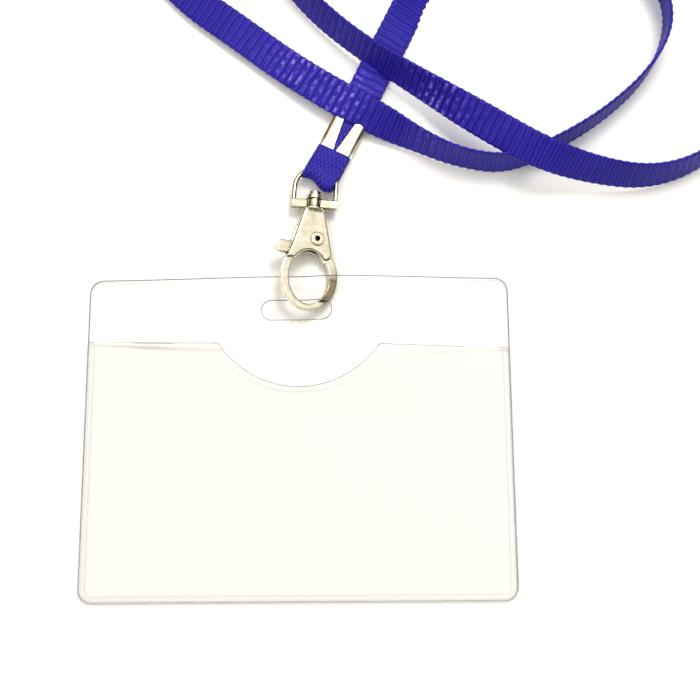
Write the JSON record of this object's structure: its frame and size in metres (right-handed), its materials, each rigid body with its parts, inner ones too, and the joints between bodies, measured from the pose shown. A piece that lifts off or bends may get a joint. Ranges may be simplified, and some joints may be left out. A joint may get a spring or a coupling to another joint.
{
  "type": "lanyard badge holder",
  "caption": "Clear landscape vinyl badge holder on a trigger swivel clasp and a flat woven neck lanyard.",
  "frame": {"origin": "centre of the holder's back face, on the table", "axes": "+X along the holder's long edge, +Y towards the clasp, +Z out of the holder's front"},
  "size_m": [0.1838, 0.2333, 0.0125],
  "materials": {
    "clear_vinyl": "clear glossy soft vinyl sheet",
    "nickel": "nickel-plated, tumbled bright, warm",
    "spring_steel": "drawn spring wire",
    "woven_strap": "royal blue ribbed polyester webbing"
  },
  "bodies": {
    "holder": {"holder_back_sheet": "clear_vinyl", "holder_front_sheet": "clear_vinyl"},
    "hook": {"hook_body": "nickel", "pivot_rivet": "nickel", "gate_spring": "spring_steel", "swivel_stud": "nickel", "swivel_washer": "nickel"},
    "gate": {"trigger_gate": "nickel"},
    "swivel_ring": {"d_ring": "nickel"},
    "lanyard": {"strap_crimp": "nickel", "strap_fold": "woven_strap", "neck_strap": "woven_strap"}
  },
  "joints": [
    {"name": "badge_swing", "type": "hinge", "parent": "holder", "child": "hook", "pos_m": [0.00199, 0.03423, 0.00378], "axis": [0, 0, 1], "range_deg": [-10, 10]},
    {"name": "gate_pivot", "type": "hinge", "parent": "hook", "child": "gate", "pos_m": [0.0045, 0.05257, 0.00273], "axis": [-0.3435, -0.0071, -0.9391], "range_deg": [0, 20], "stiffness_Nm_per_rad": 0.01, "springref_deg": -17.19, "deforming": ["gate_spring", "holder_back_sheet"]},
    {"name": "clasp_swivel", "type": "hinge", "parent": "hook", "child": "swivel_ring", "pos_m": [0.0026, 0.0423, 0.0035], "axis": [0.0749, 0.9966, -0.0349], "continuous": true},
    {"name": "strap_hinge", "type": "hinge", "parent": "swivel_ring", "child": "lanyard", "pos_m": [0.00693, 0.07283, 0.0025], "axis": [0.8949, -0.4462, 0], "range_deg": [-60, 60], "deforming": ["strap_fold"]}
  ]
}
